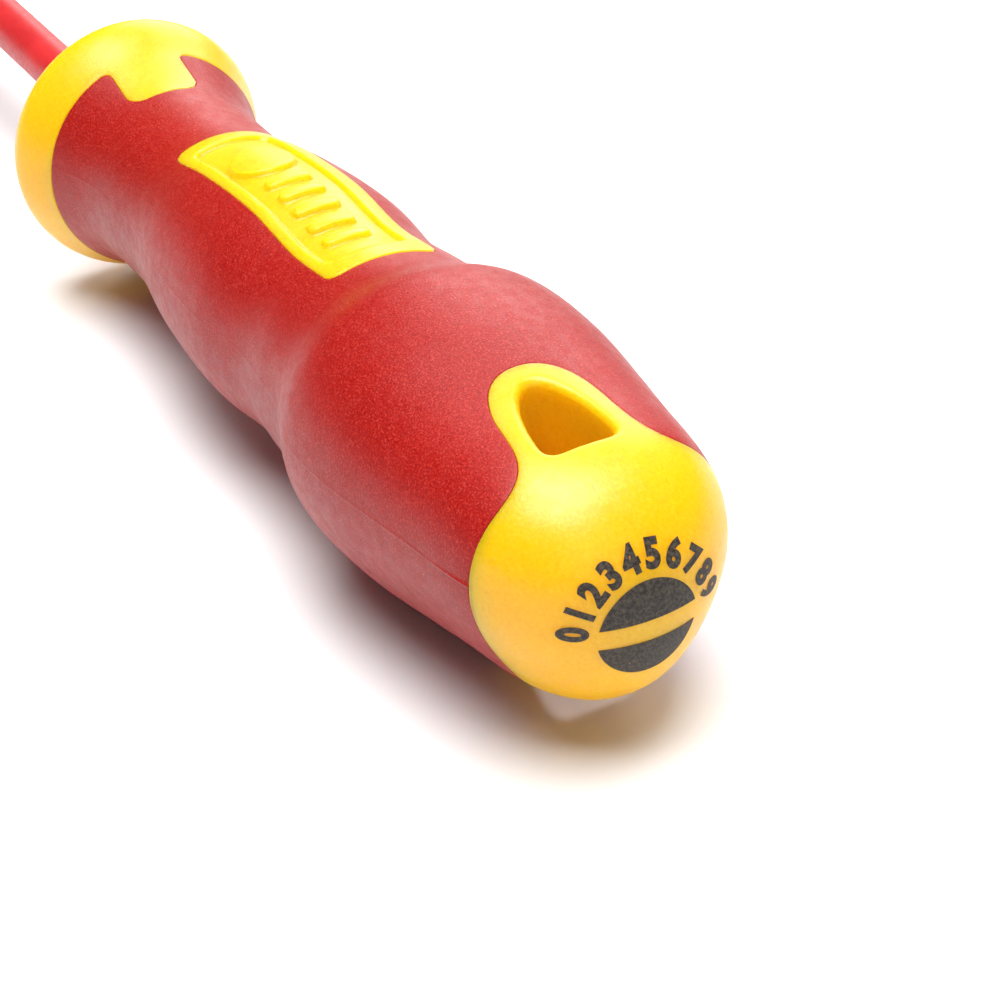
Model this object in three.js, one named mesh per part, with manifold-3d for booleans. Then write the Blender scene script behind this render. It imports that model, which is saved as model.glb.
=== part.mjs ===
// Insulated slotted screwdriver with a two-colour moulded handle.
// Millimetres. +X runs from the butt to the blade tip, +Z points up through the hanging eye.
// The handle is drawn with its butt at x = 0 and its axis on z = 0, and the finished group is then
// moved so that its lowest point is on z = 0 and its box is centred on x = y = 0.
import * as THREE from "three";
import { mergeVertices } from "three/addons/utils/BufferGeometryUtils.js";
import Module from "manifold-3d";

const wasm = await Module();
wasm.setup();

// ---------------------------------------------------------------- driving dimensions
const TIP_THICKNESS = 0.4;
const TIP_WIDTH = 2.5;
const BLADE_LENGTH = 75; // from the front of the handle to the tip
const HANDLE_LENGTH = 90;

const GAP = 0.3; // between moulded pieces that touch
const FINE_GAP = 0.05; // between the thin round layers on the blade
const REACH = 40; // how far the cutting shapes run past the handle

// Handle outline: distance from the butt and radius, joined by a smooth curve, with a round butt.
const PROFILE = [
  [0, 12.3],
  [12.9, 10.7],
  [23.9, 11.9],
  [30.3, 11.9],
  [34.9, 10.4],
  [39.5, 9.85],
  [44.1, 9.5],
  [51.4, 10.1],
  [60.6, 9.5],
  [67.9, 8.35],
  [73.4, 8.2],
  [78.2, 8.45],
  [83, 9.75],
  [86.9, 11.25],
  [HANDLE_LENGTH, 11.4],
];
const DOME_LENGTH = 18;
const DOME_POWER = 2.15;
const NOSE_ROUND = 2.8; // edge radius at the front of the collar

// Section: a triangle with full round corners, flat side up, that becomes round towards the front.
// Its lowest corner is cut flat, this far from the axis, so that the tool doesn't roll when it lies.
const FLAT_BELOW = 12.2;
const LOBE = 0.06;
const LOBE_FADE = [7, 52];

// Where the hard body shows through the soft grip.
const GRIP_WALL = 2.2;
const BUTT_EDGE = 7.2;
const COLLAR_EDGE = 83.1;
const EYE_SURROUND = { front: 17.2, straight: 12.6, flare: 10.2, halfWidth: 4.1, shoulder: 7.6 };
const EYE = { front: 15.4, back: 8.15, halfWidth: 2.7, corner: 1.05 };
const WINDOW = { back: 37.3, front: 67, halfWidth: 4.6, corner: 1 };
const TONGUE = { back: 78, halfWidth: 3.2, corner: 1.6 };

// Printed sign on the butt: a disc with a slot across it.
const PRINT_CENTRE = { y: 0.3, z: -0.65 };
const PRINT_RADIUS = 3.6;
const PRINT_SLOT = 1.58;
const PRINT_THICKNESS = 0.15;
const PRINT_GAP = 0.05;

// Blade, its anchor in the handle and its two insulating layers.
const SHANK_RADIUS = TIP_WIDTH / 2 + 0.02;
const TIP_GRIND = 7; // length of the ground flats
const HOLLOW_GRIND = { length: 1.5, rise: 0.25 }; // how the flats curve in towards the tip
const BLADE_BACK = 38; // where the steel starts inside the handle
const WINGS = { at: 42, length: 6, width: 4.6, thickness: 1.5 };
const ANCHOR = { back: 35, front: 62, radius: 3.4 };
const INNER_LAYER = { radius: 1.75, bareTip: 10.5 };
const OUTER_LAYER = { radius: 2.25, bareTip: 12 };

// Facets.
const AROUND = 60;
const CORE_AROUND = 32;
const ROUND_SEGMENTS = 24;

const TIP = HANDLE_LENGTH + BLADE_LENGTH;

// ---------------------------------------------------------------- handle surface
const smooth = (t) => {
  const u = Math.min(Math.max(t, 0), 1);
  return u * u * (3 - 2 * u);
};

// Slope of the outline at a station: that of the line between its two neighbours.
function slopeAt(i) {
  if (i === 0 || i === PROFILE.length - 1) return 0;
  const [before, after] = [PROFILE[i - 1], PROFILE[i + 1]];
  return (after[1] - before[1]) / (after[0] - before[0]);
}

function profileRadius(x) {
  const last = PROFILE.length - 2;
  let i = 0;
  while (i < last && x > PROFILE[i + 1][0]) i += 1;
  const [x0, r0] = PROFILE[i];
  const [x1, r1] = PROFILE[i + 1];
  const span = x1 - x0;
  const t = Math.min(Math.max((x - x0) / span, 0), 1);
  const fromSlopes = t * (1 - t) ** 2 * slopeAt(i) - t ** 2 * (1 - t) * slopeAt(i + 1);
  return r0 + (r1 - r0) * smooth(t) + span * fromSlopes;
}

function sectionRadius(x, angle) {
  const intoDome = Math.max(1 - x / DOME_LENGTH, 0);
  const dome = Math.max(1 - intoDome ** DOME_POWER, 0) ** (1 / DOME_POWER);
  const intoNose = Math.max((x - HANDLE_LENGTH + NOSE_ROUND) / NOSE_ROUND, 0);
  const nose = NOSE_ROUND * (1 - Math.sqrt(Math.max(1 - intoNose ** 2, 0)));
  const [from, to] = LOBE_FADE;
  const lobe = LOBE * (1 - smooth((x - from) / (to - from)));
  const radius = (dome * profileRadius(x) - nose) * (1 - lobe * Math.cos(3 * angle));
  const down = -Math.cos(angle);
  return down > 0 ? Math.min(radius, FLAT_BELOW / down) : radius;
}

// A closed solid through the handle's sections at the given stations, thinner all round by inset.
function loft(stations, inset, around) {
  const points = [];
  for (const x of stations) {
    for (let i = 0; i < around; i += 1) {
      const angle = (2 * Math.PI * i) / around;
      const r = Math.max(sectionRadius(x, angle) - inset, 0.05);
      points.push(x, r * Math.sin(angle), r * Math.cos(angle));
    }
  }
  const backCentre = points.length / 3;
  points.push(stations[0], 0, 0);
  const frontCentre = backCentre + 1;
  points.push(stations[stations.length - 1], 0, 0);
  const faces = [];
  const lastRing = (stations.length - 1) * around;
  for (let i = 0; i < around; i += 1) {
    const next = (i + 1) % around;
    for (let ring = 0; ring < lastRing; ring += around) {
      const [a, b, c, d] = [ring + i, ring + next, ring + around + i, ring + around + next];
      faces.push(a, c, b, b, c, d);
    }
    faces.push(backCentre, i, next);
    faces.push(frontCentre, lastRing + next, lastRing + i);
  }
  const geometry = new THREE.BufferGeometry();
  geometry.setAttribute("position", new THREE.Float32BufferAttribute(points, 3));
  geometry.setIndex(faces);
  return toSolid(geometry);
}

// Stations close together over the round butt and nose, evenly spaced between them.
function outerStations(step) {
  const stations = [];
  const domeRings = 9;
  for (let i = 0; i < domeRings; i += 1) {
    stations.push(0.02 + DOME_LENGTH * (1 - Math.cos((Math.PI / 2) * (i / domeRings))));
  }
  const noseStart = HANDLE_LENGTH - NOSE_ROUND;
  const count = Math.round((noseStart - DOME_LENGTH) / step);
  for (let i = 0; i < count; i += 1) {
    stations.push(DOME_LENGTH + ((noseStart - DOME_LENGTH) * i) / count);
  }
  const noseRings = 4;
  for (let i = 0; i <= noseRings; i += 1) {
    stations.push(noseStart + NOSE_ROUND * Math.sin((Math.PI / 2) * (i / noseRings)));
  }
  return stations;
}

// ---------------------------------------------------------------- solids
function toSolid(geometry) {
  const bare = geometry.clone();
  bare.deleteAttribute("normal");
  bare.deleteAttribute("uv");
  const merged = mergeVertices(bare, 1e-4);
  const vertProperties = Float32Array.from(merged.attributes.position.array);
  const triVerts = Uint32Array.from(merged.index.array);
  return new wasm.Manifold(new wasm.Mesh({ numProp: 3, vertProperties, triVerts }));
}

function toGeometry(solid) {
  const { vertProperties, triVerts } = solid.getMesh();
  const geometry = new THREE.BufferGeometry();
  geometry.setAttribute("position", new THREE.BufferAttribute(vertProperties, 3));
  geometry.setIndex(new THREE.BufferAttribute(triVerts, 1));
  geometry.computeVertexNormals();
  return geometry;
}

// A plan outline, seen from above, cut through the handle from low to high.
function planCut(shape, low, high) {
  const geometry = new THREE.ExtrudeGeometry(shape, {
    depth: high - low,
    bevelEnabled: false,
    curveSegments: 8,
  });
  geometry.translate(0, 0, low);
  return toSolid(geometry);
}

// A round bar along X, bored through when inner is given.
function bar(from, to, outer, inner = 0) {
  const shape = new THREE.Shape().absarc(0, 0, outer, 0, 2 * Math.PI);
  if (inner > 0) shape.holes.push(new THREE.Path().absarc(0, 0, inner, 0, 2 * Math.PI, true));
  const geometry = new THREE.ExtrudeGeometry(shape, {
    depth: to - from,
    bevelEnabled: false,
    curveSegments: ROUND_SEGMENTS / 2,
  });
  geometry.rotateY(Math.PI / 2);
  geometry.translate(from, 0, 0);
  return toSolid(geometry);
}

function box(from, to, width, height) {
  const geometry = new THREE.BoxGeometry(to - from, width, height);
  geometry.translate((from + to) / 2, 0, 0);
  return toSolid(geometry);
}

// ---------------------------------------------------------------- plan outlines
// The butt and the tab round the eye: along one side to the tab's front, and back along the other.
function buttOutline(grow) {
  const { straight, flare, shoulder } = EYE_SURROUND;
  const front = EYE_SURROUND.front + grow;
  const half = EYE_SURROUND.halfWidth + grow;
  const edge = BUTT_EDGE + grow;
  const shape = new THREE.Shape();
  shape.moveTo(-REACH, REACH);
  shape.lineTo(edge, REACH);
  shape.lineTo(edge, shoulder);
  shape.bezierCurveTo(edge, half, flare, 1.02 * half, straight, 0.96 * half);
  shape.bezierCurveTo(front - 1.6, 0.88 * half, front, 0.54 * half, front, 0);
  shape.bezierCurveTo(front, -0.54 * half, front - 1.6, -0.88 * half, straight, -0.96 * half);
  shape.bezierCurveTo(flare, -1.02 * half, edge, -half, edge, -shoulder);
  shape.lineTo(edge, -REACH);
  shape.lineTo(-REACH, -REACH);
  shape.closePath();
  return shape;
}

// A triangle with round corners and slightly bowed sides, its point towards the front.
function eyeOutline() {
  const { front, back, halfWidth, corner } = EYE;
  const heel = back + corner;
  const bow = (front + heel) / 2 + 0.7;
  const shape = new THREE.Shape();
  shape.moveTo(front, 0);
  shape.bezierCurveTo(front, 0.46 * halfWidth, bow, 0.89 * halfWidth, heel, halfWidth);
  shape.quadraticCurveTo(back, halfWidth, back, halfWidth - corner);
  shape.lineTo(back, corner - halfWidth);
  shape.quadraticCurveTo(back, -halfWidth, heel, -halfWidth);
  shape.bezierCurveTo(bow, -0.89 * halfWidth, front, -0.46 * halfWidth, front, 0);
  return shape;
}

function roundedRectangle(back, front, halfWidth, corner) {
  const shape = new THREE.Shape();
  shape.absarc(front - corner, halfWidth - corner, corner, 0, Math.PI / 2);
  shape.absarc(back + corner, halfWidth - corner, corner, Math.PI / 2, Math.PI);
  shape.absarc(back + corner, corner - halfWidth, corner, Math.PI, 1.5 * Math.PI);
  shape.absarc(front - corner, corner - halfWidth, corner, 1.5 * Math.PI, 2 * Math.PI);
  shape.closePath();
  return shape;
}

// Everything where the hard body comes to the surface, larger all round by grow.
function bodyShows(grow) {
  const window = roundedRectangle(
    WINDOW.back - grow,
    WINDOW.front + grow,
    WINDOW.halfWidth + grow,
    WINDOW.corner,
  );
  const tongue = roundedRectangle(
    TONGUE.back - grow,
    HANDLE_LENGTH + REACH,
    TONGUE.halfWidth + grow,
    TONGUE.corner,
  );
  const collar = box(COLLAR_EDGE - grow, HANDLE_LENGTH + REACH, REACH, REACH);
  return planCut(buttOutline(grow), -REACH, REACH)
    .add(planCut(window, 0, REACH))
    .add(planCut(tongue, 0, REACH))
    .add(collar);
}

// ---------------------------------------------------------------- pieces
function makeBlade() {
  const shank = bar(BLADE_BACK, TIP, SHANK_RADIUS);
  const flats = new THREE.Shape();
  const back = BLADE_BACK - GAP;
  const start = TIP - TIP_GRIND;
  const half = TIP_THICKNESS / 2;
  const clear = SHANK_RADIUS + GAP;
  const bend = { x: start + HOLLOW_GRIND.length, z: half + HOLLOW_GRIND.rise };
  flats.moveTo(back, clear);
  flats.lineTo(start, clear);
  flats.quadraticCurveTo(bend.x, bend.z, TIP, half);
  flats.lineTo(TIP, -half);
  flats.quadraticCurveTo(bend.x, -bend.z, start, -clear);
  flats.lineTo(back, -clear);
  flats.closePath();
  const wedge = new THREE.ExtrudeGeometry(flats, { depth: 2 * clear, bevelEnabled: false });
  wedge.translate(0, 0, -clear);
  wedge.rotateX(Math.PI / 2);
  const wings = box(WINGS.at, WINGS.at + WINGS.length, WINGS.width, WINGS.thickness);
  return shank.intersect(toSolid(wedge)).add(wings);
}

function makeAnchor() {
  const room = box(
    WINGS.at - GAP,
    WINGS.at + WINGS.length + GAP,
    WINGS.width + 2 * GAP,
    WINGS.thickness + 2 * GAP,
  );
  const bore = bar(BLADE_BACK - GAP, ANCHOR.front + GAP, SHANK_RADIUS + FINE_GAP);
  return bar(ANCHOR.back, ANCHOR.front, ANCHOR.radius).subtract(room).subtract(bore);
}

function makeLayer(layer, inner) {
  return bar(ANCHOR.front + GAP, TIP - layer.bareTip, layer.radius, inner + FINE_GAP);
}

// The body under the grip, from inside the butt to inside the collar.
function makeCore(inset) {
  const overlap = 3;
  const from = BUTT_EDGE - overlap;
  const to = COLLAR_EDGE + overlap;
  const count = 24;
  const stations = Array.from({ length: count + 1 }, (_, i) => from + ((to - from) * i) / count);
  return loft(stations, inset, CORE_AROUND);
}

function makeHandleBody(outer) {
  const hollow = bar(ANCHOR.back - GAP, ANCHOR.front + GAP, ANCHOR.radius + GAP).add(
    bar(ANCHOR.front, HANDLE_LENGTH + GAP, OUTER_LAYER.radius + FINE_GAP),
  );
  return outer
    .intersect(bodyShows(0))
    .add(makeCore(GRIP_WALL))
    .subtract(hollow)
    .subtract(planCut(eyeOutline(), -REACH, REACH));
}

function makeGrip(outer) {
  return outer.subtract(bodyShows(GAP)).subtract(makeCore(GRIP_WALL - GAP));
}

// One half of the sign: side is 1 above the slot and -1 below it.
function makePrint(outer, side) {
  const offset = PRINT_SLOT / 2;
  const end = Math.acos(offset / PRINT_RADIUS);
  const middle = (side * Math.PI) / 2;
  const half = new THREE.Shape().absarc(0, 0, PRINT_RADIUS, middle - end, middle + end);
  half.closePath();
  const depth = 6;
  const stamp = new THREE.ExtrudeGeometry(half, {
    depth,
    bevelEnabled: false,
    curveSegments: 10,
  });
  stamp.rotateX(Math.PI / 2);
  stamp.rotateZ(Math.PI / 2);
  stamp.translate(-depth / 2, PRINT_CENTRE.y, PRINT_CENTRE.z);
  const film = outer
    .translate(-PRINT_GAP - PRINT_THICKNESS, 0, 0)
    .subtract(outer.translate(-PRINT_GAP, 0, 0));
  return film.intersect(toSolid(stamp));
}

// ---------------------------------------------------------------- materials and assembly
const plastic = (color, roughness) => new THREE.MeshStandardMaterial({ color, roughness, metalness: 0 });
const HARD_YELLOW = plastic(0xfdc92e, 0.42);
const SOFT_RED = plastic(0xbb3436, 0.62);
const SLEEVE_YELLOW = plastic(0xf5c52c, 0.45);
const SLEEVE_RED = plastic(0xc22a2c, 0.4);
const ANCHOR_BLACK = plastic(0x2a2a2c, 0.5);
const INK = plastic(0x49433e, 0.55);
const STEEL = new THREE.MeshStandardMaterial({ color: 0xb9bcc0, roughness: 0.3, metalness: 1 });

const outer = loft(outerStations(2.6), 0, AROUND);
const pieces = [
  ["blade", makeBlade(), STEEL],
  ["blade_anchor", makeAnchor(), ANCHOR_BLACK],
  ["inner_sleeve", makeLayer(INNER_LAYER, SHANK_RADIUS), SLEEVE_YELLOW],
  ["outer_sleeve", makeLayer(OUTER_LAYER, INNER_LAYER.radius), SLEEVE_RED],
  ["handle_body", makeHandleBody(outer), HARD_YELLOW],
  ["grip", makeGrip(outer), SOFT_RED],
  ["print_upper_half", makePrint(outer, 1), INK],
  ["print_lower_half", makePrint(outer, -1), INK],
];

const screwdriver = new THREE.Group();
for (const [name, solid, material] of pieces) {
  const mesh = new THREE.Mesh(toGeometry(solid), material);
  mesh.name = name;
  screwdriver.add(mesh);
}
const extent = new THREE.Box3().setFromObject(screwdriver);
screwdriver.position.set(-(extent.min.x + extent.max.x) / 2, 0, -extent.min.z);

export default screwdriver;
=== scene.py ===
import itertools
import math

import bmesh
import bpy
import numpy as np
from mathutils import Euler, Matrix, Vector


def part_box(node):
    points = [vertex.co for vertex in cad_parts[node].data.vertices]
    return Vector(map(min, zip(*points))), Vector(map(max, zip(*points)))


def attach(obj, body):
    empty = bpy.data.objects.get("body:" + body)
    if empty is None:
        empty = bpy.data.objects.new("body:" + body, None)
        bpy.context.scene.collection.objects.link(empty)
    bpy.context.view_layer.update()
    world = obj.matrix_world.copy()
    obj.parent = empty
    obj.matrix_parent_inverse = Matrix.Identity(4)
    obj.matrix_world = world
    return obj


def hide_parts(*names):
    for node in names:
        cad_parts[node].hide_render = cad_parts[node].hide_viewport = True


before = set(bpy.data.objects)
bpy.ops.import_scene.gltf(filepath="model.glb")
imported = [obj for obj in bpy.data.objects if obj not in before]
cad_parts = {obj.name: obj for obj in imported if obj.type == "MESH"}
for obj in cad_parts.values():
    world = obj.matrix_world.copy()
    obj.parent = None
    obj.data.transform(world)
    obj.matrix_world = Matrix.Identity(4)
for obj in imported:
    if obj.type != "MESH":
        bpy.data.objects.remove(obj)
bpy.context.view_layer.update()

MM = 0.001

# ---------------------------------------------------------------- where the CAD handle lies
BUTT_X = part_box("handle_body")[0].x
AXIS_Z = (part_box("blade")[0].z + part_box("blade")[1].z) / 2
HANDLE_LENGTH = round((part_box("handle_body")[1].x - BUTT_X) / MM)
TIP = (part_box("blade")[1].x - BUTT_X) / MM
BLADE_BACK = (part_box("blade")[0].x - BUTT_X) / MM
ANCHOR_BACK = (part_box("blade_anchor")[0].x - BUTT_X) / MM
ANCHOR_FRONT = (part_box("blade_anchor")[1].x - BUTT_X) / MM
INNER_FRONT = (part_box("inner_sleeve")[1].x - BUTT_X) / MM
OUTER_FRONT = (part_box("outer_sleeve")[1].x - BUTT_X) / MM

# ---------------------------------------------------------------- shape of the handle
# Outline: distance from the butt and radius, joined by a smooth curve, with a round butt.
PROFILE = np.array([
    (0, 12.3), (12.9, 10.7), (23.9, 11.9), (30.3, 11.9), (34.9, 10.4), (39.5, 9.85), (44.1, 9.5),
    (51.4, 10.1), (60.6, 9.5), (67.9, 8.35), (73.4, 8.2), (78.2, 8.45), (83, 9.75), (86.9, 11.25),
    (HANDLE_LENGTH, 11.4),
])
DOME_LENGTH = 18
DOME_POWER = 2.15
NOSE_ROUND = 2.8
# Section: a triangle with full round corners that becomes round towards the front.
LOBE = 0.06  # share of the radius
LOBE_FADE = (7, 52)  # where it starts to fade and where it is gone
FLAT_BELOW = 12.2  # from the axis to the flat that cuts the lowest corner
FLAT_BLEND = 0.15  # how softly the two meet

# Where the hard body shows through the soft grip.
GRIP_WALL = 2.2  # how far the body lies below the surface under the grip
GAP = 0.3  # left between pieces inside the handle
BUTT_EDGE = 7.2
COLLAR_EDGE = 83.1
TAB = {"front": 17.2, "straight": 12.6, "flare": 10.2, "half": 4.1, "shoulder": 7.6}
EYE = {"front": 15.4, "back": 8.35, "half": 2.65, "corner": 1.05}
WINDOW = {"back": 37.6, "front": 67, "middle": -0.4, "half": 4.5, "corner": 1}
TONGUE = {"back": 78, "front": 100, "middle": 0, "half": 3.2, "corner": 1.6}
TONGUE_BLEND = 0.8  # how softly the tongue runs into the collar
# The shallow recess in the collar's front face, round the land that the blade comes out of.
RECESS = {"edge": 8.2, "floor": 7.6, "depth": 0.25, "land_width": 1.2, "land_depth": 0.2}
BORE_CHAMFER = 0.25

# Fine shapes on the surface.
JOINT_ROUND = {"grip": 0.1, "body": 0.05}  # edge radii where the two materials meet
JOINT_GAP = 0.012  # between the two materials
RIM_ROUND = 0.6  # edge of the hanging eye
PANEL_RAISE = 0.1  # the window panel stands this much above the grip
PANEL_EDGE = 0.2  # width of its rounded edge
POCKET = {"back": 39.8, "front": 65, "middle": -0.1, "half": 3.3, "corner": 0.8}
POCKET_DEPTH = 0.42
BOSS = {"x": 58.2, "radius": 2.7}
RIBS = {"first": 43.1, "pitch": 2.55, "count": 5, "half_length": 1.9, "half_width": 0.62}
SLOPE = 0.14  # half the run of the relief's side walls
SEAM_HEIGHT = 2.1  # the mould's parting line, above the axis
SEAM_RIDGE = [(BUTT_EDGE, 0.11), (11, 0.04), (26, 0.012)]  # distance from the butt and height
SEAM_HALF = 0.16

# Printed sign and numerals on the butt.
SIGN_CENTRE = (0.3, -0.65)  # along +Y and +Z from the axis
SIGN_RADIUS = 3.6
SIGN_SLOT = 1.58
NUMERALS = "0123456789"
NUMERAL_RADIUS = 5.1
NUMERAL_HEIGHT = 1.65
NUMERAL_WIDTH = 0.97  # over the font's own width
NUMERAL_BOLD = 0.12  # added all round each stroke
NUMERAL_ARC = (91, -91)  # degrees round the sign, from +Y over the top
FONT_SIZE = 1.4  # size of the built-in font over the height of its numerals
INK_LIFT = 0.012  # from the butt to the underside of the ink
INK_THICKNESS = 0.02

# Blade and sleeves.
SHANK_RADIUS = 1.27
TIP_THICKNESS = 0.4
TIP_GRIND = 7
GRIND_POWER = 2.6  # how hollow the grind is
TIP_BREAK = 0.04  # length of the broken edges at the tip
TIP_END = (1, 0.985, 0.9)  # scale of the tip's section where the broken edges end
WINGS = {"at": 42, "length": 6, "half_width": 2.3, "half_thickness": 0.75}
INNER_RADIUS = 1.75
OUTER_RADIUS = 2.25
FINE_GAP = 0.05  # between the blade, the sleeves and the bore
ANCHOR_RADIUS = 3.4
SLEEVE_ROUND = 0.22
SLEEVE_CHAMFER = 0.03

# Mesh fineness.
AROUND = 168
AROUND_BLADE = 96
AROUND_SLEEVE = 64
RING_STEP = 0.45
DOME_RINGS = 60
NOSE_RINGS = 8
INK_STEP = 0.3  # between the cuts that let the ink bend with the butt
SNAP = 0.008  # a corner this close to a scored line is taken to be on it
SAME = 1e-5  # values this close count as the same
NEAR = 1.2  # only corners this close to a scored line can have an edge that crosses it
FAR = 12  # a distance that no scored line is near
HALVINGS = 40  # steps in the search for the dome's surface


# ---------------------------------------------------------------- curves and fields
def smooth(t):
    """A smooth step from 0 at t = 0 to 1 at t = 1."""
    u = np.clip(t, 0, 1)
    return u * u * (3 - 2 * u)


def soft_min(a, b, blend):
    """The smaller of two values, rounded where they differ by less than blend."""
    overlap = np.maximum(blend - np.abs(a - b), 0)
    return np.minimum(a, b) - overlap**2 / (4 * blend)


def profile_radius(x):
    """Radius of the handle's outline, on a smooth curve through the points of PROFILE."""
    stations, radii = PROFILE.T
    slopes = np.zeros(len(stations))
    slopes[1:-1] = (radii[2:] - radii[:-2]) / (stations[2:] - stations[:-2])
    i = np.clip(np.searchsorted(stations, x, side="right") - 1, 0, len(stations) - 2)
    span = stations[i + 1] - stations[i]
    t = np.clip((x - stations[i]) / span, 0, 1)
    from_slopes = t * (1 - t) ** 2 * slopes[i] - t**2 * (1 - t) * slopes[i + 1]
    return radii[i] + (radii[i + 1] - radii[i]) * smooth(t) + span * from_slopes


def section_radius(x, angle):
    """Distance from the axis to the surface: outline, round ends, lobes and the flat below."""
    into_dome = np.clip(1 - x / DOME_LENGTH, 0, 1)
    dome = (1 - into_dome**DOME_POWER) ** (1 / DOME_POWER)
    into_nose = np.clip((x - HANDLE_LENGTH + NOSE_ROUND) / NOSE_ROUND, 0, 1)
    nose = NOSE_ROUND * (1 - np.sqrt(1 - into_nose**2))
    lobe = LOBE * (1 - smooth((x - LOBE_FADE[0]) / (LOBE_FADE[1] - LOBE_FADE[0])))
    radius = (dome * profile_radius(x) - nose) * (1 - lobe * np.cos(3 * angle))
    down = np.maximum(-np.cos(angle), 1e-3)
    return soft_min(radius, FLAT_BELOW / down, FLAT_BLEND)


def surface(x, angle):
    """Points of the handle's surface at stations x and angles round the axis."""
    radius = section_radius(x, angle)
    return np.stack([x, radius * np.sin(angle), radius * np.cos(angle)], axis=-1)


def surface_normal(x, angle):
    step = 0.01
    along = surface(x + step, angle) - surface(x - step, angle)
    turned = surface(x, angle + step) - surface(x, angle - step)
    normal = np.cross(along, turned)
    return normal / np.linalg.norm(normal, axis=-1, keepdims=True)


def angle_of(points):
    return np.arctan2(points[:, 1], points[:, 2])


def bezier(p0, p1, p2, p3, count=24):
    """Points along a cubic curve from p0 to p3, without p3 itself."""
    t = np.linspace(0, 1, count, endpoint=False)[:, None]
    points = [np.array(p, float) for p in (p0, p1, p2, p3)]
    weights = [(1 - t) ** 3, 3 * t * (1 - t) ** 2, 3 * t**2 * (1 - t), t**3]
    return sum(w * p for w, p in zip(weights, points))


def mirrored(side):
    """A closed outline from its +Y side, which runs from the axis round to the axis."""
    return np.concatenate([side, (side * (1, -1))[::-1]])


def butt_outline():
    """Edge of the hard butt in plan: the tab round the eye, the shoulders and far round the back."""
    half, front, straight = TAB["half"], TAB["front"], TAB["straight"]
    reach = 40  # well outside the handle
    side = np.concatenate([
        bezier((front, 0), (front, 0.54 * half), (front - 1.6, 0.88 * half), (straight, 0.96 * half)),
        bezier((straight, 0.96 * half), (TAB["flare"], 1.02 * half), (BUTT_EDGE, half),
               (BUTT_EDGE, TAB["shoulder"])),
        np.array([(BUTT_EDGE, TAB["shoulder"]), (BUTT_EDGE, reach), (-reach, reach)]),
    ])
    return mirrored(side[1:])


def eye_outline():
    """The hanging eye in plan: a pointed arch with a straight heel towards the butt."""
    half, front, back, corner = EYE["half"], EYE["front"], EYE["back"], EYE["corner"]
    heel = back + corner
    bow = (front + heel) / 2 + 0.7
    side = np.concatenate([
        bezier((front, 0), (front, 0.46 * half), (bow, 0.89 * half), (heel, half)),
        bezier((heel, half), (heel - 0.67 * corner, half), (back, half - 0.33 * corner),
               (back, half - corner), 12),
        np.array([(back, half - corner)]),
    ])
    return mirrored(side[1:])


def outline_distance(outline, x, y):
    """Distance in plan from points to a closed outline, negative inside it."""
    starts = outline
    ends = np.roll(outline, -1, axis=0)
    spans = ends - starts
    keep = (spans**2).sum(axis=1) > 1e-12
    starts, ends, spans = starts[keep], ends[keep], spans[keep]
    nearest = np.full(len(x), np.inf)
    inside = np.zeros(len(x), bool)
    for (ax, ay), (bx, by), (sx, sy) in zip(starts, ends, spans):
        t = np.clip(((x - ax) * sx + (y - ay) * sy) / (sx * sx + sy * sy), 0, 1)
        nearest = np.minimum(nearest, np.hypot(x - ax - t * sx, y - ay - t * sy))
        if ay != by:
            crosses = (ay > y) != (by > y)
            inside ^= crosses & (x < ax + (y - ay) * sx / sy)
    return np.where(inside, -nearest, nearest)


def rectangle_distance(x, y, back, front, middle, half, corner):
    """Distance in plan to a rectangle with round corners, negative inside it."""
    out_x = np.abs(x - (back + front) / 2) - (front - back) / 2 + corner
    out_y = np.abs(y - middle) - half + corner
    outside = np.hypot(np.maximum(out_x, 0), np.maximum(out_y, 0))
    return outside + np.minimum(np.maximum(out_x, out_y), 0) - corner


BUTT_OUTLINE = butt_outline()
EYE_OUTLINE = eye_outline()


def above(points, distance):
    """The distance on the upper side of the handle, and FAR underneath."""
    return np.where(points[:, 2] > 0, distance, FAR)


def window_distance(points):
    return above(points, rectangle_distance(points[:, 0], points[:, 1], **WINDOW))


def shows(points):
    """Distance to the edge of the soft grip, negative where the hard body shows."""
    x, y = points[:, 0], points[:, 1]
    butt = outline_distance(BUTT_OUTLINE, x, y)
    tongue = above(points, rectangle_distance(x, y, **TONGUE))
    front = soft_min(tongue, COLLAR_EDGE - x, TONGUE_BLEND)
    return np.minimum(np.minimum(butt, front), window_distance(points))


def eye_distance(points):
    return outline_distance(EYE_OUTLINE, points[:, 0], points[:, 1])


def pocket_distance(points):
    return above(points, rectangle_distance(points[:, 0], points[:, 1], **POCKET))


def relief_distance(points):
    """Distance to the boss and the ribs in the window's pocket, negative on them."""
    x, y = points[:, 0], points[:, 1]
    nearest = np.hypot(x - BOSS["x"], y) - BOSS["radius"]
    half = RIBS["half_width"]
    corner = 0.6 * half
    for i in range(RIBS["count"]):
        at = RIBS["first"] + i * RIBS["pitch"]
        rib = rectangle_distance(x, y, at - half, at + half, 0, RIBS["half_length"], corner)
        nearest = np.minimum(nearest, rib)
    return above(points, nearest)


def seam_distance(points):
    return points[:, 2] - SEAM_HEIGHT


def quarter_round(distance, radius):
    """How far an edge rounded with this radius lies below the surface, this far from the edge."""
    into = np.clip(1 - distance / radius, 0, 1)
    return radius * (1 - np.sqrt(1 - into**2))


def round_levels(radius, count):
    """Distances from an edge at which its rounding gets a line, closest together at the edge."""
    return [radius * (1 - math.cos(math.pi / 2 * i / count)) for i in range(count + 1)]


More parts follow.
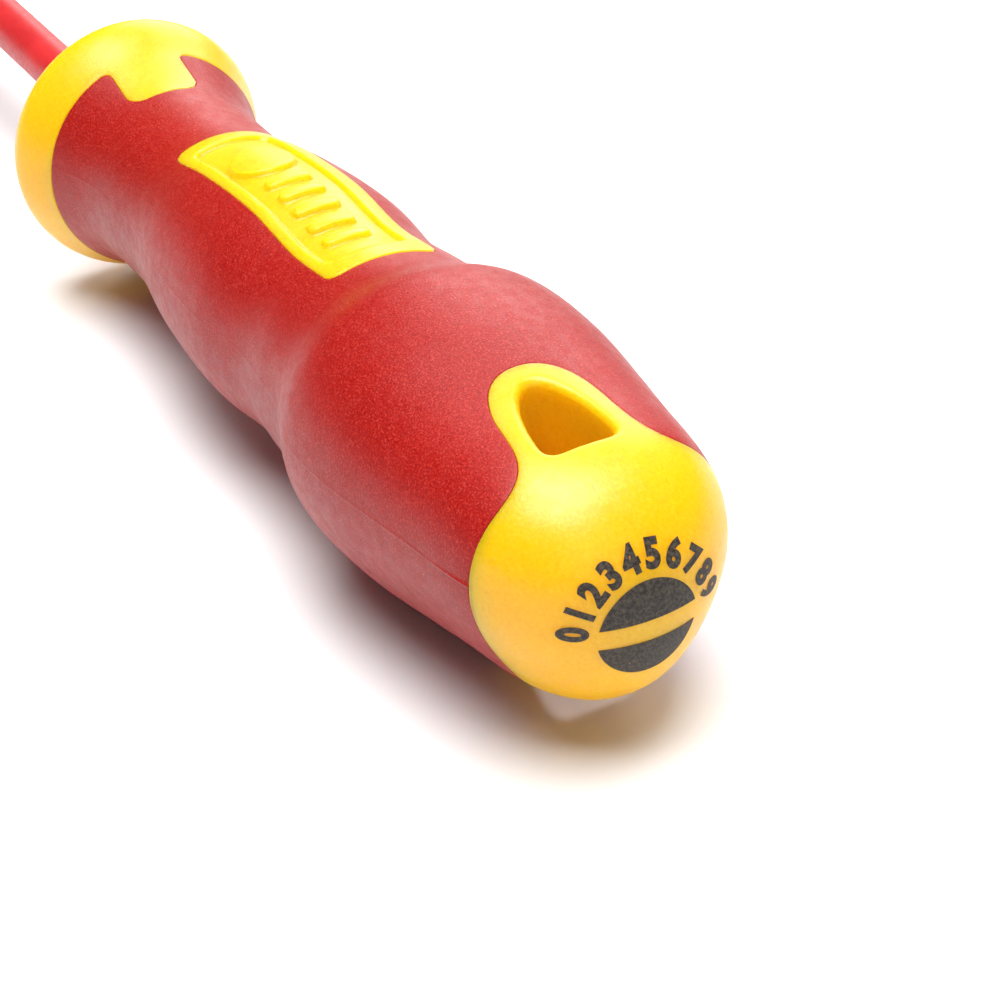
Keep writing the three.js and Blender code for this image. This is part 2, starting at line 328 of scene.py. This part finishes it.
def body_height(fields):
    """How far the hard body stands above the handle's surface."""
    height = -quarter_round(-fields["shows"], JOINT_ROUND["body"])
    into_panel = np.clip(-fields["window"] / PANEL_EDGE, 0, 1)
    step = np.sqrt(1 - (1 - into_panel) ** 2)
    sunk = POCKET_DEPTH * smooth(0.5 - fields["pocket"] / (2 * SLOPE))
    sunk *= smooth(0.5 + fields["relief"] / (2 * SLOPE))
    height += np.where(fields["window"] < 0, PANEL_RAISE * step - sunk, 0)
    return np.where(fields["shows"] > JOINT_GAP / 4, -GRIP_WALL, height)


def grip_height(fields):
    """How far the soft grip stands above the handle's surface."""
    height = -quarter_round(fields["shows"] - JOINT_GAP, JOINT_ROUND["grip"])
    stations, heights = zip(*SEAM_RIDGE)
    ridge = np.interp(fields["x"], stations, heights)
    return height + ridge * (1 - smooth(np.abs(fields["seam"]) / SEAM_HALF))


# ---------------------------------------------------------------- meshes
def points_of(bm):
    return np.array([v.co for v in bm.verts], float).reshape(-1, 3)


def once_each(items):
    """The items without repeats, in their own order, so that every run gives the same mesh."""
    return list(dict.fromkeys(items))


def full_turn(count):
    """Evenly spaced angles once round."""
    return np.arange(count) * 2 * math.pi / count


def loft(rings, start=None, end=None, closed=False):
    """A mesh through rings with equal numbers of points. start and end are points that close it."""
    bm = bmesh.new()
    corners = [[bm.verts.new(point) for point in points] for points in rings]
    count = len(corners[0])
    pairs = list(zip(corners, corners[1:]))
    if closed:
        pairs.append((corners[-1], corners[0]))
    for here, after in pairs:
        for i in range(count):
            j = (i + 1) % count
            bm.faces.new((here[i], here[j], after[j], after[i]))
    for point, last in ((start, corners[0]), (end, corners[-1])):
        if point is not None:
            tip = bm.verts.new(point)
            for i in range(count):
                bm.faces.new((tip, last[i], last[(i + 1) % count]))
    return bm


def split_between(face, side):
    """Splits a face along the scored line if it has corners on both sides of it."""
    values = [side(v) for v in face.verts]
    if min(values) >= 0 or max(values) <= 0:
        return
    on_line = [i for i, value in enumerate(values) if value == 0]
    for i, j in itertools.combinations(on_line, 2):
        between = values[i + 1:j]
        around = values[j + 1:] + values[:i]
        if between and around and max(between, key=abs) * max(around, key=abs) < 0:
            bmesh.utils.face_split(face, face.verts[i], face.verts[j])
            return


def score(bm, name, field, levels):
    """Cuts the mesh along the lines where field takes these levels, so that they have edges.

    The corners keep their values of the field in a layer of this name."""
    layer = bm.verts.layers.float.new(name)
    for v, value in zip(bm.verts, field(points_of(bm))):
        v[layer] = value
    for level in levels:
        def side(v):
            offset = v[layer] - level
            return 0 if abs(offset) < SAME else offset

        close = [v for v in bm.verts if abs(v[layer] - level) < NEAR]
        for v in close:
            if abs(v[layer] - level) < SNAP:
                v[layer] = level
        for edge in once_each(e for v in close for e in v.link_edges):
            a, b = edge.verts
            if side(a) * side(b) < 0:
                _, corner = bmesh.utils.edge_split(edge, a, side(a) / (side(a) - side(b)))
                corner[layer] = level
        on_line = [v for v in bm.verts if side(v) == 0]
        for face in once_each(f for v in on_line for f in v.link_faces):
            split_between(face, side)


def faces_under(bm, name, level):
    """The faces on the low side of a scored line."""
    layer = bm.verts.layers.float[name]
    return [f for f in bm.faces if min(v[layer] for v in f.verts) < level - SAME]


def raise_surface(bm, corners, height, names):
    """Puts corners of the skin back on the handle's surface, each raised by height.

    height gets the corners' x and their values in the layers of these names."""
    points = np.array([v.co for v in corners], float)
    layers = {name: bm.verts.layers.float[name] for name in names}
    fields = {name: np.array([v[layer] for v in corners]) for name, layer in layers.items()}
    x, angle = points[:, 0], angle_of(points)
    fields["x"] = x
    raised = surface_normal(x, angle) * height(fields)[:, None]
    for v, point in zip(corners, surface(x, angle) + raised):
        v.co = point


def finished_mesh(bm, name, sharp_angle=50):
    """Triangulates, moves to the CAD frame in metres and makes a smooth-shaded object."""
    bmesh.ops.triangulate(bm, faces=bm.faces[:])
    bmesh.ops.recalc_face_normals(bm, faces=bm.faces[:])
    for v in bm.verts:
        v.co = v.co * MM + Vector((BUTT_X, 0, AXIS_Z))
    mesh = bpy.data.meshes.new(name)
    bm.to_mesh(mesh)
    bm.free()
    mesh.shade_smooth()
    mesh.set_sharp_from_angle(angle=math.radians(sharp_angle))
    obj = bpy.data.objects.new(name, mesh)
    bpy.context.scene.collection.objects.link(obj)
    return obj


def ring(x, radius, around=AROUND):
    """Points round the axis. radius is one value, or one for each point."""
    turns = full_turn(around)
    return np.stack([np.full(around, x), radius * np.sin(turns), radius * np.cos(turns)], axis=-1)


def skin_rings():
    """Rings on the handle's surface, closer together on the dome and the nose."""
    dome = DOME_LENGTH * (1 - np.cos(np.linspace(0, math.pi / 2, DOME_RINGS + 1)[1:-1]))
    nose_start = HANDLE_LENGTH - NOSE_ROUND
    straight = np.linspace(DOME_LENGTH, nose_start, round((nose_start - DOME_LENGTH) / RING_STEP))
    nose = nose_start + NOSE_ROUND * np.sin(np.linspace(0, math.pi / 2, NOSE_RINGS + 1)[1:])
    stations = np.concatenate([dome, straight, nose])
    return [surface(np.full(AROUND, x), full_turn(AROUND)) for x in stations]


def eye_walls(bm):
    """Joins the eye's rim above and below the handle by a straight wall.

    Each rim gets a ring of its own near the middle. The two rings can have different numbers of
    corners, so triangles join them, each to the next corner round the eye."""
    rim = once_each(v for e in bm.edges if e.is_boundary for v in e.verts)
    middle_x = (EYE["front"] + EYE["back"]) / 2
    off_middle = 0.4

    def turn_of(v):
        return math.atan2(v.co.y, v.co.x - middle_x)

    rings = []
    for side in (1, -1):
        corners = sorted((v for v in rim if v.co.z * side > 0), key=turn_of)
        count = len(corners)
        inner = [bm.verts.new((v.co.x, v.co.y, side * off_middle)) for v in corners]
        for i in range(count):
            j = (i + 1) % count
            bm.faces.new((corners[i], corners[j], inner[j], inner[i]))
        rings.append(inner)
    top, low = rings
    i = j = 0
    while i < len(top) or j < len(low):
        next_top = turn_of(top[i + 1]) if i + 1 < len(top) else math.inf
        next_low = turn_of(low[j + 1]) if j + 1 < len(low) else math.inf
        here_top, here_low = top[i % len(top)], low[j % len(low)]
        if j >= len(low) or (i < len(top) and next_top <= next_low):
            bm.faces.new((here_top, top[(i + 1) % len(top)], here_low))
            i += 1
        else:
            bm.faces.new((here_top, low[(j + 1) % len(low)], here_low))
            j += 1


def make_body():
    """The hard plastic: butt, eye, window, tongue and collar, and lower where the grip covers it."""
    bore = OUTER_RADIUS + FINE_GAP
    hollow = ANCHOR_RADIUS + GAP
    floor = HANDLE_LENGTH - RECESS["depth"]
    land = HANDLE_LENGTH - RECESS["land_depth"]
    inside = [
        ring(HANDLE_LENGTH, RECESS["edge"]), ring(floor, RECESS["floor"]),
        ring(floor, bore + RECESS["land_width"]), ring(land, bore + BORE_CHAMFER),
        ring(land - BORE_CHAMFER, bore), ring(ANCHOR_FRONT + GAP, bore),
        ring(ANCHOR_FRONT + GAP, hollow), ring(ANCHOR_BACK - GAP, hollow),
    ]
    outside = skin_rings()
    bm = loft(outside + inside, start=(0, 0, 0), end=(ANCHOR_BACK - GAP, 0, 0))
    is_inside = bm.verts.layers.int.new("inside")
    bm.verts.ensure_lookup_table()
    for i in range(len(outside) * AROUND, len(bm.verts)):  # the two end points are the last ones
        bm.verts[i][is_inside] = 1

    def on_skin(field):
        """The field with the corners inside the handle kept out of the way of its lines."""
        def masked(points):
            layer = bm.verts.layers.int["inside"]
            inner = np.array([v[layer] for v in bm.verts], bool)
            return np.where(inner, FAR, field(points))
        return masked

    joint = [-level for level in reversed(round_levels(JOINT_ROUND["body"], 3))]
    walls = [-SLOPE, -SLOPE / 2, 0, SLOPE / 2, SLOPE]
    score(bm, "shows", on_skin(shows), joint + [JOINT_GAP / 2])
    score(bm, "window", on_skin(window_distance), [-PANEL_EDGE, -PANEL_EDGE / 2, -PANEL_EDGE / 5])
    score(bm, "pocket", on_skin(pocket_distance), walls)
    score(bm, "relief", on_skin(relief_distance), walls)
    score(bm, "eye", on_skin(eye_distance), round_levels(RIM_ROUND, 5))
    is_inside = bm.verts.layers.int["inside"]  # looked up again, now that there are more layers
    skin = [v for v in bm.verts if not v[is_inside] and v.co.x > BUTT_EDGE / 2]
    raise_surface(bm, skin, body_height, ("shows", "window", "pocket", "relief"))
    from_eye = bm.verts.layers.float["eye"]
    for v in skin:
        if v[from_eye] < RIM_ROUND:
            drop = float(quarter_round(max(v[from_eye], 0), RIM_ROUND))
            v.co.z -= math.copysign(drop, v.co.z)
    bmesh.ops.delete(bm, geom=faces_under(bm, "eye", 0), context="FACES")
    eye_walls(bm)
    return finished_mesh(bm, "moulded_body")


def make_grip():
    """The soft cover, which is the rest of the handle's skin, with a lining and a wall between."""
    bm = loft(skin_rings(), start=(0, 0, 0))
    levels = [JOINT_GAP + level for level in round_levels(JOINT_ROUND["grip"], 4)]
    score(bm, "shows", shows, levels)
    bmesh.ops.delete(bm, geom=faces_under(bm, "shows", JOINT_GAP), context="FACES")
    score(bm, "seam", seam_distance, [SEAM_HALF * i for i in (-1, -0.6, -0.25, 0, 0.25, 0.6, 1)])
    raise_surface(bm, bm.verts[:], grip_height, ("shows", "seam"))
    rim = [e for e in bm.edges if e.is_boundary]
    outer = bm.faces[:]
    corners = bm.verts[:]
    points = points_of(bm)
    x, angle = points[:, 0], angle_of(points)
    lining = surface(x, angle) - surface_normal(x, angle) * (GRIP_WALL - GAP)
    inner = {v: bm.verts.new(p) for v, p in zip(corners, lining)}
    sides = [(e.link_loops[0].vert, e.link_loops[0].link_loop_next.vert) for e in rim]
    for face in outer:
        bm.faces.new([inner[v] for v in reversed(face.verts)])
    for a, b in sides:
        bm.faces.new((b, a, inner[a], inner[b]))
    return finished_mesh(bm, "soft_grip")


def dome_depth(y, z):
    """Distance from the butt's tip plane to the dome at points of that plane."""
    radius, angle = np.hypot(y, z), np.arctan2(y, z)
    low, high = np.zeros(len(y)), np.full(len(y), PROFILE[1][0])
    for _ in range(HALVINGS):
        middle = (low + high) / 2
        short = section_radius(middle, angle) < radius
        low, high = np.where(short, middle, low), np.where(short, high, middle)
    return high


def dome_film(flat, name):
    """Wraps a flat shape, drawn with its x along +Y and its y along +Z, onto the butt as ink."""
    points = points_of(flat)
    for axis in (0, 1):
        low, high = points[:, axis].min(), points[:, axis].max()
        for line in np.arange(low + INK_STEP, high, INK_STEP):
            normal = Vector((1, 0, 0)) if axis == 0 else Vector((0, 1, 0))
            everything = flat.verts[:] + flat.edges[:] + flat.faces[:]
            bmesh.ops.bisect_plane(flat, geom=everything, plane_co=normal * line, plane_no=normal)
    points = points_of(flat)
    depth = dome_depth(points[:, 0], points[:, 1])
    rim = [(e.link_loops[0].vert, e.link_loops[0].link_loop_next.vert) for e in flat.edges
           if e.is_boundary]
    faces = flat.faces[:]
    under = {}
    for v, (y, z, _), x in zip(flat.verts[:], points, depth):
        v.co = (x - INK_LIFT - INK_THICKNESS, y, z)
        under[v] = flat.verts.new((x - INK_LIFT, y, z))
    for face in faces:
        flat.faces.new([under[v] for v in reversed(face.verts)])
    for a, b in rim:
        flat.faces.new((b, a, under[a], under[b]))
    return finished_mesh(flat, name)


def make_sign_half(side, name):
    """The half disc above (side 1) or below (side -1) the sign's slot."""
    offset = SIGN_SLOT / 2
    end = math.acos(offset / SIGN_RADIUS)
    turns = np.linspace(-end, end, 60)
    corners = [(SIGN_RADIUS * math.sin(t), side * SIGN_RADIUS * math.cos(t)) for t in turns]
    flat = bmesh.new()
    flat.faces.new([flat.verts.new((SIGN_CENTRE[0] + y, SIGN_CENTRE[1] + z, 0)) for y, z in corners])
    return dome_film(flat, name)


def numeral_shape(character):
    """One numeral as a flat mesh, centred across and standing on the line y = 0."""
    curve = bpy.data.curves.new("numeral", "FONT")
    curve.body = character
    curve.align_x = "CENTER"
    curve.size = NUMERAL_HEIGHT * FONT_SIZE
    curve.offset = NUMERAL_BOLD
    curve.resolution_u = 5
    source = bpy.data.objects.new("numeral", curve)
    bpy.context.scene.collection.objects.link(source)
    bpy.context.view_layer.update()
    drawn = source.evaluated_get(bpy.context.evaluated_depsgraph_get()).to_mesh()
    glyph = bmesh.new()
    glyph.from_mesh(drawn)
    bmesh.ops.remove_doubles(glyph, verts=glyph.verts[:], dist=1e-4)
    bpy.data.objects.remove(source)
    bpy.data.curves.remove(curve)
    return glyph


def make_numerals():
    """A row of plain numerals, as on a dial, on an arc round the sign."""
    flat = bmesh.new()
    first, last = NUMERAL_ARC
    for i, character in enumerate(NUMERALS):
        turn = math.radians(first + (last - first) * (i + 0.5) / len(NUMERALS))
        glyph = numeral_shape(character)
        added = {}
        for v in glyph.verts:
            out = NUMERAL_RADIUS + v.co.y - NUMERAL_HEIGHT / 2
            across = -NUMERAL_WIDTH * v.co.x
            y = SIGN_CENTRE[0] + out * math.sin(turn) + across * math.cos(turn)
            z = SIGN_CENTRE[1] + out * math.cos(turn) - across * math.sin(turn)
            added[v] = flat.verts.new((y, z, 0))
        for face in glyph.faces:
            flat.faces.new([added[v] for v in face.verts])
        glyph.free()
    return dome_film(flat, "size_numerals")


def blade_section(x):
    """The blade's outline at a station: round, and flattened towards the tip."""
    section = ring(x, SHANK_RADIUS, AROUND_BLADE)
    start = TIP - TIP_GRIND
    if x > start:
        left = (1 - (x - start) / TIP_GRIND) ** GRIND_POWER
        clear = 0.02  # the grind starts this far outside the round blade
        half = TIP_THICKNESS / 2 + (SHANK_RADIUS + clear - TIP_THICKNESS / 2) * left
        section[:, 2] = np.clip(section[:, 2], -half, half)
    return section


def wing_section(x):
    """The blade's outline where a flat plate crosses it, inside the handle."""
    turns = full_turn(AROUND_BLADE)
    side = np.maximum(np.abs(np.sin(turns)), 1e-6)
    top = np.maximum(np.abs(np.cos(turns)), 1e-6)
    plate = np.minimum(WINGS["half_width"] / side, WINGS["half_thickness"] / top)
    return ring(x, np.maximum(SHANK_RADIUS, plate), AROUND_BLADE)


def make_blade():
    wing_end = WINGS["at"] + WINGS["length"]
    rings = [blade_section(BLADE_BACK), blade_section(WINGS["at"]), wing_section(WINGS["at"])]
    rings += [wing_section(wing_end), blade_section(wing_end)]
    rings += [blade_section(x) for x in np.linspace(wing_end + 1, TIP - TIP_GRIND, 40)]
    rings += [blade_section(x) for x in np.linspace(TIP - TIP_GRIND, TIP - TIP_BREAK, 30)[1:]]
    rings.append(blade_section(TIP) * TIP_END)
    bm = loft(rings, start=(BLADE_BACK, 0, 0), end=(TIP, 0, 0))
    return finished_mesh(bm, "steel_blade", sharp_angle=25)


def make_sleeve(name, inner, outer, front):
    """A tube along the blade with a rounded front edge."""
    back = ANCHOR_FRONT + GAP
    bore = inner + FINE_GAP
    soft = min(SLEEVE_ROUND, 0.6 * (outer - bore))
    outline = [(back, bore), (back, outer)]
    outline += [(x, outer) for x in np.linspace(back, front - soft, 30)[1:]]
    for i in range(1, 7):
        turn = math.pi / 2 * i / 6
        outline.append((front - soft + soft * math.sin(turn), outer - soft + soft * math.cos(turn)))
    outline += [(front, bore + SLEEVE_CHAMFER), (front - SLEEVE_CHAMFER, bore)]
    rings = [ring(x, radius, AROUND_SLEEVE) for x, radius in outline]
    return finished_mesh(loft(rings, closed=True), name)


# ---------------------------------------------------------------- materials
def linear(red, green, blue):
    """An sRGB colour, given from 0 to 255, as the renderer's linear one."""
    return tuple(
        c / 12.92 if c <= 0.04045 else ((c + 0.055) / 1.055) ** 2.4
        for c in (red / 255, green / 255, blue / 255)
    ) + (1,)


class Shader:
    """A new node material, with short ways to add and join its nodes."""

    def __init__(self, name, **settings):
        self.material = bpy.data.materials.new(name)
        self.material.use_nodes = True
        self.tree = self.material.node_tree
        self.main = self.tree.nodes["Principled BSDF"]
        self.place = self.add("ShaderNodeTexCoord").outputs["Object"]
        for socket, value in settings.items():
            self.main.inputs[socket.replace("_", " ")].default_value = value

    def add(self, kind, **options):
        node = self.tree.nodes.new(kind)
        for name, value in options.items():
            setattr(node, name, value)
        return node

    def fill(self, node, values):
        for socket, value in values.items():
            if isinstance(value, bpy.types.NodeSocket):
                self.tree.links.new(value, node.inputs[socket])
            else:
                node.inputs[socket].default_value = value
        return node

    def noise(self, size_mm, detail=2, roughness=0.5, place=None):
        """Noise with features of about this size, from 0 to 1."""
        node = self.add("ShaderNodeTexNoise")
        values = {"Scale": 0.5 / (size_mm * MM), "Detail": detail, "Roughness": roughness}
        self.fill(node, {"Vector": place or self.place, **values})
        return node.outputs["Fac"]

    def ramp(self, value, low, high, from_value=0, to_value=1):
        """value carried from low..high to from_value..to_value, smoothly and no further."""
        node = self.add("ShaderNodeMapRange", interpolation_type="SMOOTHSTEP")
        limits = {"From Min": low, "From Max": high, "To Min": from_value, "To Max": to_value}
        self.fill(node, {"Value": value, **limits})
        return node.outputs["Result"]

    def mix(self, amount, first, second):
        node = self.add("ShaderNodeMix", data_type="RGBA")
        self.fill(node, {0: amount, 6: first, 7: second})
        return node.outputs[2]

    def math(self, operation, first, second):
        node = self.add("ShaderNodeMath", operation=operation)
        self.fill(node, {0: first, 1: second})
        return node.outputs["Value"]

    def specks(self, spacing_mm, radius_mm, share):
        """1 on small round specks, 0 elsewhere. share is the part of the cells that have one."""
        scale = 1 / (spacing_mm * MM)
        node = self.add("ShaderNodeTexVoronoi")
        self.fill(node, {"Vector": self.place, "Scale": scale})
        spot = self.ramp(node.outputs["Distance"], 0.5 * radius_mm / spacing_mm,
                         radius_mm / spacing_mm, 1, 0)
        chance = self.add("ShaderNodeSeparateColor")
        self.fill(chance, {"Color": node.outputs["Color"]})
        present = self.math("LESS_THAN", chance.outputs["Red"], share)
        return self.math("MULTIPLY", spot, present)

    def finish(self, colour=None, roughness=None, height=None, depth_mm=0.02, strength=1):
        if colour is not None:
            self.fill(self.main, {"Base Color": colour})
        if roughness is not None:
            self.fill(self.main, {"Roughness": roughness})
        if height is not None:
            bump = self.add("ShaderNodeBump")
            values = {"Height": height, "Distance": depth_mm * MM, "Strength": strength}
            self.fill(bump, values)
            self.fill(self.main, {"Normal": bump.outputs["Normal"]})
        return self.material


def soft_red():
    shader = Shader("soft_red", Specular_IOR_Level=0.33, Sheen_Weight=0.05, Sheen_Roughness=0.3,
                    Sheen_Tint=linear(255, 205, 200))
    grain = shader.noise(0.07, 2, 0.5)
    broad = shader.noise(7, 3)
    colour = shader.mix(shader.ramp(broad, 0.35, 0.65), linear(154, 15, 9), linear(161, 18, 11))
    colour = shader.mix(shader.ramp(grain, 0.5, 0.7, 0, 0.5), colour, linear(200, 70, 58))
    colour = shader.mix(shader.ramp(grain, 0.5, 0.3, 0, 0.5), colour, linear(108, 4, 8))
    colour = shader.mix(shader.specks(1.9, 0.07, 0.16), colour, linear(232, 140, 132))
    colour = shader.mix(shader.specks(3.1, 0.08, 0.2), colour, linear(96, 10, 14))
    roughness = shader.ramp(shader.noise(0.5, 3), 0.3, 0.7, 0.38, 0.48)
    return shader.finish(colour, roughness, grain, 0.024, 1)


def hard_yellow():
    shader = Shader("hard_yellow", Specular_IOR_Level=0.42, Subsurface_Weight=0.85,
                    Subsurface_Radius=(1.0, 0.8, 0.07), Subsurface_Scale=0.004)
    grain = shader.noise(0.13, 3, 0.6)
    broad = shader.noise(6, 2)
    colour = shader.mix(shader.ramp(broad, 0.3, 0.7), linear(248, 184, 6), linear(251, 188, 9))
    colour = shader.mix(shader.ramp(grain, 0.5, 0.72, 0, 0.4), colour, linear(255, 200, 64))
    colour = shader.mix(shader.ramp(grain, 0.5, 0.28, 0, 0.35), colour, linear(232, 160, 4))
    colour = shader.mix(shader.specks(2.6, 0.06, 0.22), colour, linear(130, 82, 26))
    roughness = shader.ramp(shader.noise(0.4, 3), 0.3, 0.7, 0.29, 0.39)
    return shader.finish(colour, roughness, grain, 0.022, 0.8)


def ink():
    shader = Shader("ink", Specular_IOR_Level=0.4)
    grain = shader.noise(0.12, 3, 0.7)
    colour = shader.mix(shader.ramp(grain, 0.36, 0.66), linear(26, 21, 18), linear(80, 70, 60))
    colour = shader.mix(shader.specks(0.7, 0.06, 0.14), colour, linear(170, 140, 76))
    return shader.finish(colour, shader.ramp(grain, 0.3, 0.7, 0.5, 0.7), grain, 0.01, 0.5)


def steel():
    shader = Shader("satin_steel", Metallic=1.0, Anisotropic=0.3)
    stretch = shader.add("ShaderNodeMapping")
    shader.fill(stretch, {"Vector": shader.place, "Scale": (1, 0.04, 1)})
    streaks = shader.noise(0.08, 4, 0.6, stretch.outputs["Vector"])
    cloudy = shader.noise(2.5, 3)
    colour = shader.mix(shader.ramp(cloudy, 0.3, 0.7), linear(178, 180, 184), linear(206, 208, 210))
    colour = shader.mix(shader.specks(1.3, 0.06, 0.2), colour, linear(120, 118, 116))
    return shader.finish(colour, shader.ramp(streaks, 0.3, 0.7, 0.24, 0.38), streaks, 0.006, 0.4)


def sleeve_plastic(name, light, dark, fleck):
    shader = Shader(name, Specular_IOR_Level=0.5)
    grain = shader.noise(0.2, 3, 0.6)
    along = shader.noise(4, 2)
    colour = shader.mix(shader.ramp(along, 0.3, 0.7), dark, light)
    colour = shader.mix(shader.specks(1.9, 0.06, 0.2), colour, fleck)
    return shader.finish(colour, shader.ramp(grain, 0.3, 0.7, 0.36, 0.5), grain, 0.015, 0.5)


# ---------------------------------------------------------------- camera, light and table
CAMERA_PLACE = (-113.321, 67.943, 94.571)  # from the middle of the butt, in handle millimetres
CAMERA_TURN = (57.2015, 3.2016, -118.9286)  # degrees about X, Y and Z
CAMERA_LENS = 91.755
SURROUND_LIGHT = 0.06
SURROUND_COLOUR = (0.97, 0.985, 1, 1)
TABLE_RADIUS = 0.6  # metres, like its edge's radius
TABLE_EDGE = 0.012
TABLE_SIDES = 128


def make_camera():
    data = bpy.data.cameras.new("camera")
    data.lens = CAMERA_LENS
    data.sensor_width = 36
    data.clip_start = 0.005
    data.clip_end = 20
    camera = bpy.data.objects.new("camera", data)
    camera.location = Vector(CAMERA_PLACE) * MM + Vector((BUTT_X, 0, AXIS_Z))
    camera.rotation_euler = Euler([math.radians(angle) for angle in CAMERA_TURN])
    bpy.context.scene.collection.objects.link(camera)
    bpy.context.scene.camera = camera


def soft_light(name, direction, distance, size, radiance):
    """A square area light in this direction from the handle, turned towards it."""
    data = bpy.data.lights.new(name, "AREA")
    data.shape = "SQUARE"
    data.size = size
    data.energy = radiance * math.pi * size**2
    light = bpy.data.objects.new(name, data)
    towards = Vector(direction).normalized()
    middle = Vector((BUTT_X / 2, 0, AXIS_Z))
    light.location = middle + towards * distance
    light.rotation_euler = towards.to_track_quat("Z", "Y").to_euler()
    light.visible_camera = False
    bpy.context.scene.collection.objects.link(light)


def make_table():
    """A round pale table top with a rounded edge."""
    turns = full_turn(TABLE_SIDES)
    rings = []
    for bend in np.linspace(0, math.pi, 9):
        reach = TABLE_RADIUS + TABLE_EDGE * math.sin(bend)
        height = TABLE_EDGE * (math.cos(bend) - 1)
        around = [reach * np.cos(turns), reach * np.sin(turns), np.full(TABLE_SIDES, height)]
        rings.append(np.stack(around, axis=-1))
    bm = loft(rings, start=(0, 0, 0), end=(0, 0, -2 * TABLE_EDGE))
    bmesh.ops.recalc_face_normals(bm, faces=bm.faces[:])
    mesh = bpy.data.meshes.new("table")
    bm.to_mesh(mesh)
    bm.free()
    mesh.shade_smooth()
    mesh.set_sharp_from_angle(angle=math.radians(40))
    table = bpy.data.objects.new("table", mesh)
    bpy.context.scene.collection.objects.link(table)
    shader = Shader("pale_table", Specular_IOR_Level=0.2)
    tone = shader.ramp(shader.noise(40, 3), 0.3, 0.7)
    colour = shader.mix(tone, (0.79, 0.785, 0.785, 1), (0.81, 0.805, 0.805, 1))
    mesh.materials.append(shader.finish(colour, shader.ramp(tone, 0, 1, 0.75, 0.85)))


def make_world():
    """A white surround that lights the tool only weakly: the soft lights do most of that."""
    world = bpy.data.worlds.new("studio")
    world.use_nodes = True
    nodes, links = world.node_tree.nodes, world.node_tree.links
    path = nodes.new("ShaderNodeLightPath")
    strength = nodes.new("ShaderNodeMapRange")
    strength.inputs["To Min"].default_value = SURROUND_LIGHT
    strength.inputs["To Max"].default_value = 1
    links.new(path.outputs["Is Camera Ray"], strength.inputs["Value"])
    links.new(strength.outputs["Result"], nodes["Background"].inputs["Strength"])
    nodes["Background"].inputs["Color"].default_value = SURROUND_COLOUR
    bpy.context.scene.world = world


def dress(piece, material, slot, *nodes):
    """Gives a piece its material and body, and hides the CAD nodes that it stands for. slot is not
    used.
    """
    piece.data.materials.append(material)
    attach(piece, "root")
    if nodes:
        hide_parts(*nodes)


# ---------------------------------------------------------------- the scene
make_camera()
make_world()
make_table()
soft_light("overhead", (-0.03, 0.03, 1), 1.3, 1, 11.4)
soft_light("behind", (0.75, -0.62, 0.5), 3.2, 1.9, 4.5)
soft_light("front", (-1, 0.1, 0.6), 3, 2, 0.9)
bpy.context.scene.view_settings.view_transform = "Standard"

ink_film = ink()
dress(make_body(), hard_yellow(), "body_plastic", "handle_body")
dress(make_grip(), soft_red(), "grip_elastomer", "grip")
dress(make_sign_half(1, "sign_upper"), ink_film, "ink", "print_upper_half")
dress(make_sign_half(-1, "sign_lower"), ink_film, "ink", "print_lower_half")
dress(make_numerals(), ink_film, "ink")
dress(make_blade(), steel(), "blade_steel", "blade")
yellow_sleeve = sleeve_plastic(
    "yellow_sleeve", linear(250, 204, 40), linear(240, 188, 30), linear(170, 120, 40)
)
red_sleeve = sleeve_plastic(
    "red_sleeve", linear(198, 38, 40), linear(178, 28, 32), linear(232, 130, 120)
)
dress(make_sleeve("yellow_sleeve", SHANK_RADIUS, INNER_RADIUS, INNER_FRONT), yellow_sleeve,
      "sleeve_inner", "inner_sleeve")
dress(make_sleeve("red_sleeve", INNER_RADIUS, OUTER_RADIUS, OUTER_FRONT), red_sleeve,
      "sleeve_outer", "outer_sleeve")
anchor = sleeve_plastic("anchor_black", linear(46, 46, 48), linear(32, 32, 34), linear(90, 90, 90))
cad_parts["blade_anchor"].data.materials[0] = anchor  # the CAD's own piece, inside the handle
